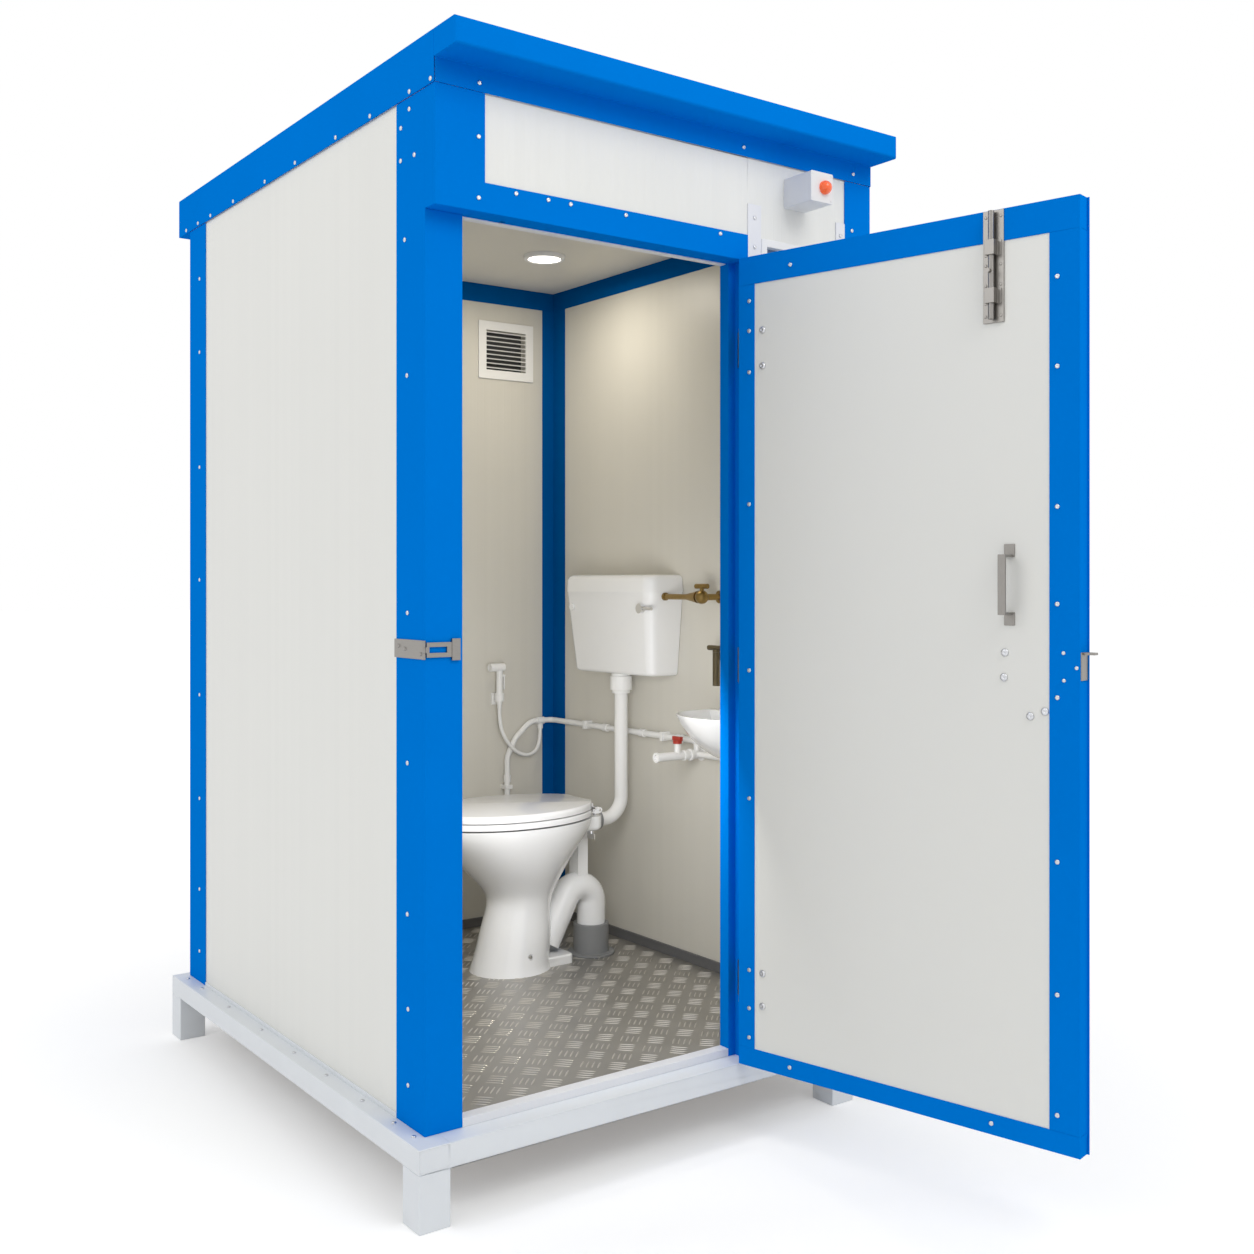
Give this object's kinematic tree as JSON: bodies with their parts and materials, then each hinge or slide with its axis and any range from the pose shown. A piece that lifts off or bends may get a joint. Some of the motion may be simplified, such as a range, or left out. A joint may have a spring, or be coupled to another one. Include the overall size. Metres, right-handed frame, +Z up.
{
  "type": "portable toilet cabin",
  "caption": "Portable toilet cabin of sandwich panels on a short-legged steel frame: hinged door, window, beacon box, pedestal toilet with high cistern, basin, taps and hand spray",
  "frame": {"origin": "on the ground, at the middle of the whole part's footprint with the door at rest", "axes": "+X to the cabin's right seen from outside the door, +Y from the door side to the rear wall, +Z up"},
  "size_m": [1.3, 2.3494, 2.362],
  "materials": {
    "frame_grey": "satin paint",
    "trim_blue": "gloss prepainted sheet",
    "panel_white": "fine-lined prepainted sheet over a foam core",
    "ceiling_white": "prepainted sheet over a foam core",
    "floor_board": "plain board",
    "tread_plate": "five-bar tread plate",
    "skirting": "satin",
    "white_trim": "satin",
    "screws": "zinc plated",
    "white_plastic": "gloss",
    "pane": "clear",
    "box_grey": "satin",
    "beacon": "translucent",
    "steel": "brushed",
    "ceramic": "glazed",
    "pipe_grey": "satin",
    "brass": "aged",
    "bronze": "aged",
    "chrome": "polished",
    "hose": "satin",
    "seat_white": "gloss",
    "tap_white": "gloss",
    "tap_red": "gloss"
  },
  "bodies": {
    "cabin": {"base_frame_beams": "frame_grey", "base_legs": "frame_grey", "floor_board": "floor_board", "floor_tread_plate": "tread_plate", "wall_base_channels": "frame_grey", "interior_skirting": "skirting", "corner_posts": "trim_blue", "hinge_post": "trim_blue", "header_frame": "trim_blue", "front_panels": "panel_white", "white_trim_strips": "white_trim", "side_wall_panels": "panel_white", "rear_wall_panel": "panel_white", "ceiling_panel": "ceiling_white", "roof_deck": "panel_white", "roof_edge_trims": "trim_blue", "front_canopy": "trim_blue", "interior_blue_trims": "trim_blue", "cabin_screws": "screws", "window_frame": "white_plastic", "window_pane": "pane", "vent_grilles": "white_plastic", "ceiling_light": "white_plastic", "junction_box": "box_grey", "beacon_lens": "beacon", "hinge_frame_leaves": "steel", "hasp_plate": "steel", "wc_pan": "ceramic", "wc_fixings": "chrome", "soil_pipe_collar": "pipe_grey", "cistern_tank": "ceramic", "cistern_lid": "ceramic", "cistern_siphon": "white_plastic", "cistern_float_valve": "brass", "flush_pipe": "white_plastic", "flush_pipe_seal": "pipe_grey", "supply_pipes": "white_plastic", "bib_tap_body": "tap_white", "wash_basin": "ceramic", "basin_waste": "chrome", "basin_tap_body": "bronze", "bidet_holder": "white_plastic", "bidet_handset": "white_plastic", "bidet_hose": "hose"},
    "door": {"door_frame": "trim_blue", "door_panel": "panel_white", "door_screws": "screws", "door_hinge_leaves": "steel", "tower_bolt_plate": "steel", "door_handles": "steel", "door_staple": "steel"},
    "tower_bolt": {"tower_bolt_rod": "steel"},
    "hasp": {"hasp_strap": "steel"},
    "wc_seat": {"wc_seat": "seat_white"},
    "wc_lid": {"wc_lid": "seat_white"},
    "flush_lever": {"flush_lever": "chrome"},
    "float_arm": {"float_arm": "brass"},
    "bib_tap_handle": {"bib_tap_handle": "tap_red"},
    "basin_tap_lever": {"basin_tap_lever": "bronze"},
    "bidet_trigger": {"bidet_trigger": "white_plastic"}
  },
  "joints": [
    {"name": "door_swing", "type": "hinge", "parent": "cabin", "child": "door", "pos_m": [0.201, -0.35729, 1.08], "axis": [0, 0, 1], "range_deg": [-103, 67]},
    {"name": "tower_bolt_slide", "type": "slide", "parent": "door", "child": "tower_bolt", "axis": [0, 0, 1], "range_m": [0, 0.022]},
    {"name": "hasp_swing", "type": "hinge", "parent": "cabin", "child": "hasp", "pos_m": [-0.6135, -0.31379, 1.137], "axis": [0, 0, 1], "range_deg": [-175, 0]},
    {"name": "seat_hinge", "type": "hinge", "parent": "cabin", "child": "wc_seat", "pos_m": [0.371, 0.57271, 0.6162], "axis": [0, 1, 0], "range_deg": [0, 90]},
    {"name": "lid_hinge", "type": "hinge", "parent": "wc_seat", "child": "wc_lid", "pos_m": [0.371, 0.57271, 0.6162], "axis": [0, -1, 0], "range_deg": [-90, 0]},
    {"name": "flush_lever_turn", "type": "hinge", "parent": "cabin", "child": "flush_lever", "pos_m": [0.45735, 0.38871, 1.197], "axis": [1, 0, 0], "range_deg": [0, 30], "stiffness_Nm_per_rad": 0.6},
    {"name": "float_drop", "type": "hinge", "parent": "cabin", "child": "float_arm", "pos_m": [0.509, 0.43971, 1.231], "axis": [1, 0, 0], "range_deg": [-30, 0]},
    {"name": "bib_tap_turn", "type": "hinge", "parent": "cabin", "child": "bib_tap_handle", "pos_m": [0.489, 0.26771, 0.825], "axis": [0, 0, 1], "range_deg": [0, 90]},
    {"name": "basin_tap_turn", "type": "hinge", "parent": "cabin", "child": "basin_tap_lever", "pos_m": [0.52, 0.13571, 1.09], "axis": [0, 0, 1], "range_deg": [0, 90]},
    {"name": "bidet_trigger_press", "type": "hinge", "parent": "cabin", "child": "bidet_trigger", "pos_m": [0.367, 1.00671, 0.975], "axis": [0, 1, 0], "range_deg": [0, 6], "stiffness_Nm_per_rad": 0.3}
  ]
}
